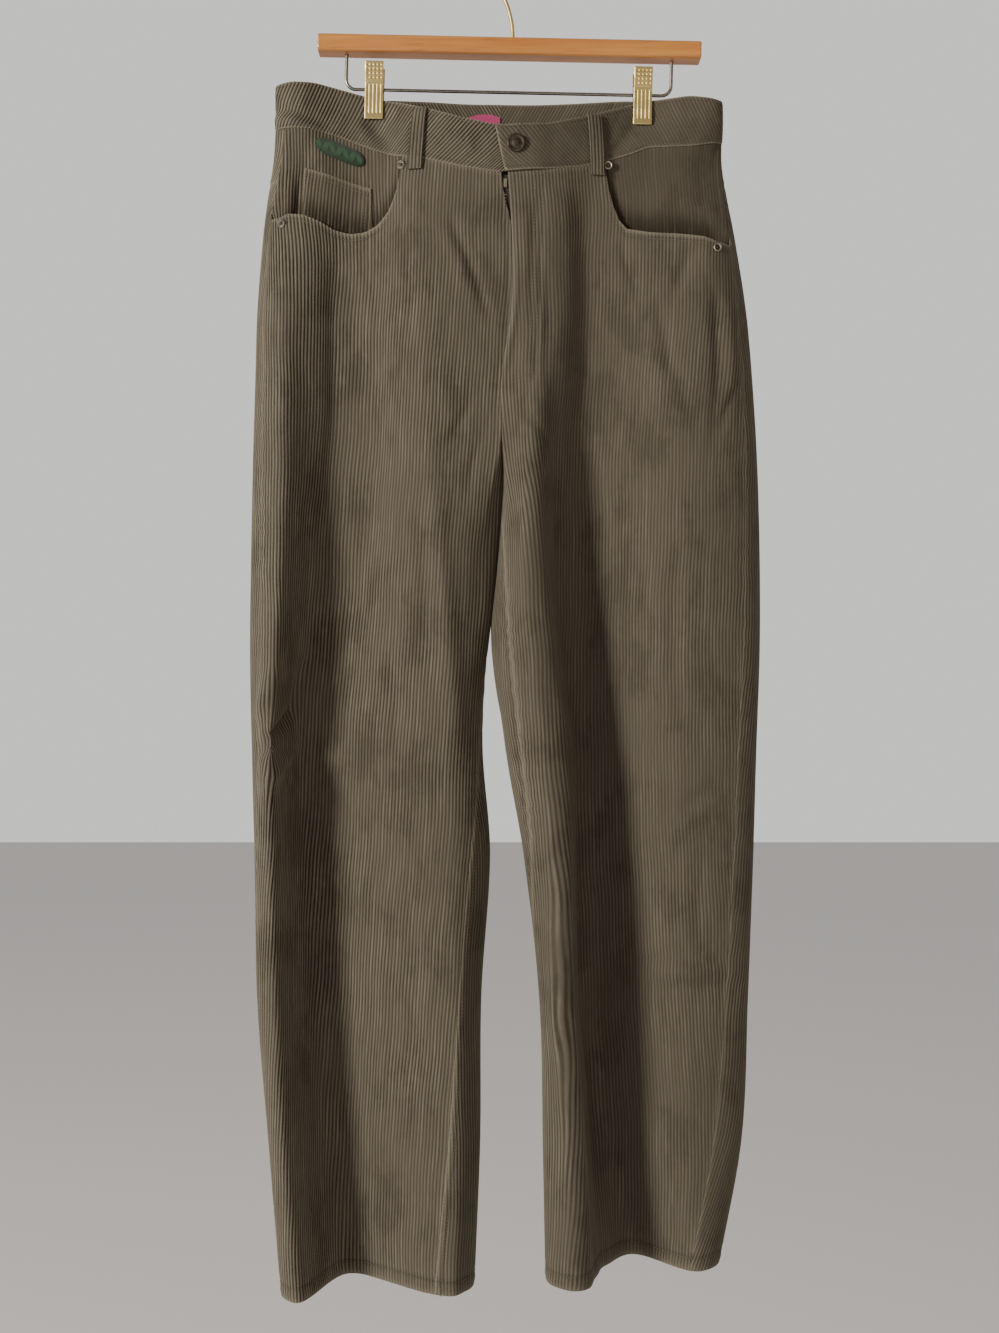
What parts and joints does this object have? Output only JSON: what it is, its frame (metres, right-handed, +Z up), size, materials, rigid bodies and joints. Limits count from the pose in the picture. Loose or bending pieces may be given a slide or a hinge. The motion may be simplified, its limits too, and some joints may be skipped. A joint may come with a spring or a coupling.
{
  "type": "corduroy trousers on a wooden clip hanger",
  "caption": "Wide-leg corduroy trousers with scooped front pockets, hung by the waistband from the clips of a wooden hanger.",
  "frame": {"origin": "where the hook's inner top bears on a rail", "axes": "+Z up, +X to the right seen from the front, which is the wearer's left, -Y towards the front"},
  "size_m": [0.4655, 0.1176, 1.2378],
  "materials": {
    "corduroy": "wide-wale cotton corduroy, brushed pile",
    "dark_metal": "antique dark metal, stamped and rubbed",
    "zip_metal": "bright zip metal",
    "zip_tape": "woven zip tape",
    "wood": "clear lacquered wood",
    "brass": "plated and polished",
    "steel_rod": "bright plated steel",
    "badge": "satin stitched thread",
    "size_tape": "woven tape, bare"
  },
  "bodies": {
    "root": {"back_panel_left": "corduroy", "back_panel_right": "corduroy", "back_pocket_left": "corduroy", "back_pocket_right": "corduroy", "back_yoke_left": "corduroy", "back_yoke_right": "corduroy", "belt_loop_1": "corduroy", "belt_loop_2": "corduroy", "belt_loop_3": "corduroy", "belt_loop_4": "corduroy", "belt_loop_5": "corduroy", "clip_back_left": "brass", "clip_back_right": "brass", "clip_front_left": "brass", "clip_front_right": "brass", "clip_rod": "steel_rod", "clip_spring_left": "steel_rod", "clip_spring_right": "steel_rod", "coin_pocket": "corduroy", "fly_shield": "corduroy", "front_panel_left": "corduroy", "front_panel_right": "corduroy", "hanger_bar": "wood", "hanger_hook": "brass", "pocket_facing_left": "corduroy", "pocket_facing_right": "corduroy", "rivet_1": "dark_metal", "rivet_2": "dark_metal", "rivet_3": "dark_metal", "rivet_4": "dark_metal", "size_tape": "size_tape", "stitched_badge": "badge", "waist_button": "dark_metal", "waistband_left": "corduroy", "waistband_right": "corduroy", "zip_slider": "zip_metal", "zip_tape": "zip_tape"}
  },
  "joints": []
}
